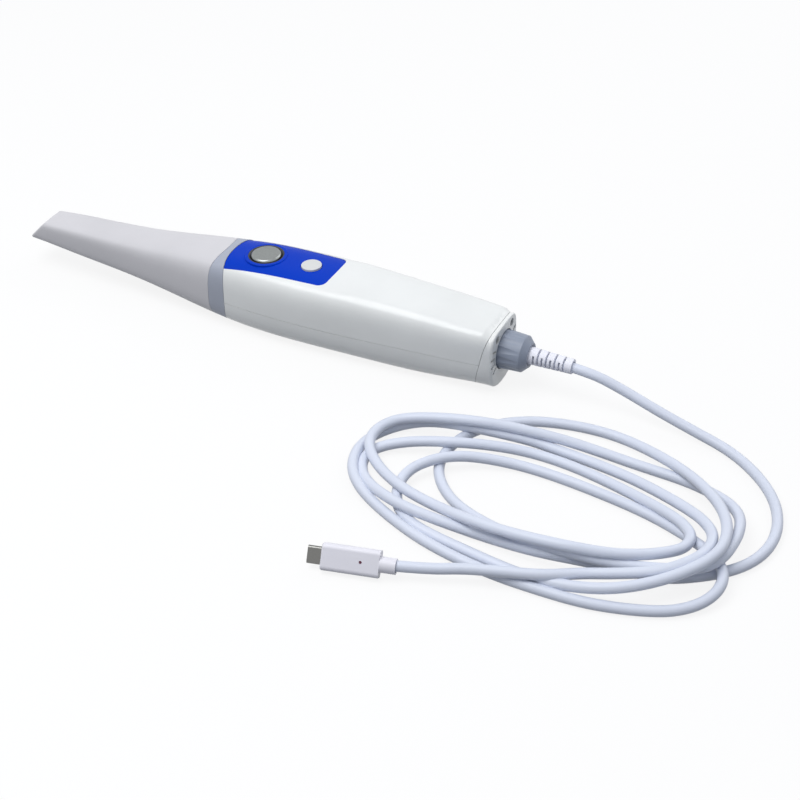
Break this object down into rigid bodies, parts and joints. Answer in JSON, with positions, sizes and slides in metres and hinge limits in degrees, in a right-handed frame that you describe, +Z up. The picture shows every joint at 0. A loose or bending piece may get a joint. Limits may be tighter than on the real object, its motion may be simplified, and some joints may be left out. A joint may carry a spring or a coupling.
{
  "type": "intraoral scanner",
  "caption": "Hand-held intraoral scanner: a wand with a lift-off mirror tip, keys on a panel, a rear cable nut, and a coiled cable with a small plug.",
  "frame": {"origin": "on the flat of the belly that the wand rests on, below the middle of the handle's length", "axes": "+X along the wand towards its cable, +Z up through the keys; the wand is mirrored across XZ"},
  "size_m": [0.4552, 0.1959, 0.0411],
  "materials": {
    "tip_plastic": "fine satin moulding",
    "mirror_glass": "front-surface mirror",
    "nose_plastic": "matt black moulding",
    "window_glass": "clear coated glass",
    "collar_plastic": "satin bluish grey",
    "shell_plastic": "semi-gloss warm white",
    "panel_plastic": "semi-gloss blue",
    "bezel_plastic": "matt dark grey",
    "key_metal": "satin metal cap",
    "key_plastic": "satin grey-white",
    "board_laminate": "green solder mask",
    "switch_plastic": "black moulding",
    "frame_metal": "machined",
    "lens_metal": "black anodised",
    "sensor_plastic": "black ceramic",
    "screw_steel": "bright steel",
    "socket_metal": "turned",
    "nut_plastic": "satin bluish grey",
    "boot_plastic": "soft white moulding",
    "cord_jacket": "soft pale jacket",
    "plug_plastic": "satin white moulding",
    "plug_steel": "plated steel",
    "tongue_plastic": "black moulding",
    "light_plastic": "small dark light"
  },
  "bodies": {
    "handle": {"nose_barrel": "nose_plastic", "front_window": "window_glass", "collar_ring": "collar_plastic", "lower_shell": "shell_plastic", "upper_shell": "shell_plastic", "end_cap": "shell_plastic", "control_panel": "panel_plastic", "key_bezel": "bezel_plastic", "key_board": "board_laminate", "main_board": "board_laminate", "scan_switch": "switch_plastic", "mode_switch": "switch_plastic", "optics_frame": "frame_metal", "lens_barrel": "lens_metal", "camera_module": "sensor_plastic", "projector_module": "sensor_plastic", "heat_sink": "frame_metal", "end_cap_screws": "screw_steel", "cable_socket": "socket_metal", "strain_relief": "boot_plastic", "cord_lead": "cord_jacket", "cord_coil": "cord_jacket", "cord_tail": "cord_jacket", "plug_housing": "plug_plastic", "plug_shell": "plug_steel", "plug_tongue": "tongue_plastic", "plug_light": "light_plastic"},
    "tip": {"tip_sleeve": "tip_plastic", "tip_mirror": "mirror_glass"},
    "large_key": {"scan_key": "key_metal"},
    "small_key": {"mode_key": "key_plastic"},
    "nut": {"cable_nut": "nut_plastic"}
  },
  "joints": [
    {"name": "tip_pull_off", "type": "slide", "parent": "handle", "child": "tip", "axis": [-1, 0, 0], "range_m": [0, 0.07]},
    {"name": "large_key_press", "type": "slide", "parent": "handle", "child": "large_key", "axis": [0.0332, 0, -0.9995], "range_m": [0, 0.0006], "stiffness_N_per_m": 1500},
    {"name": "small_key_press", "type": "slide", "parent": "handle", "child": "small_key", "axis": [0.0332, 0, -0.9995], "range_m": [0, 0.0006], "stiffness_N_per_m": 1500},
    {"name": "nut_turn", "type": "hinge", "parent": "handle", "child": "nut", "pos_m": [0.085, 0, 0.0202], "axis": [1, 0, 0], "range_deg": [0, 720]}
  ]
}
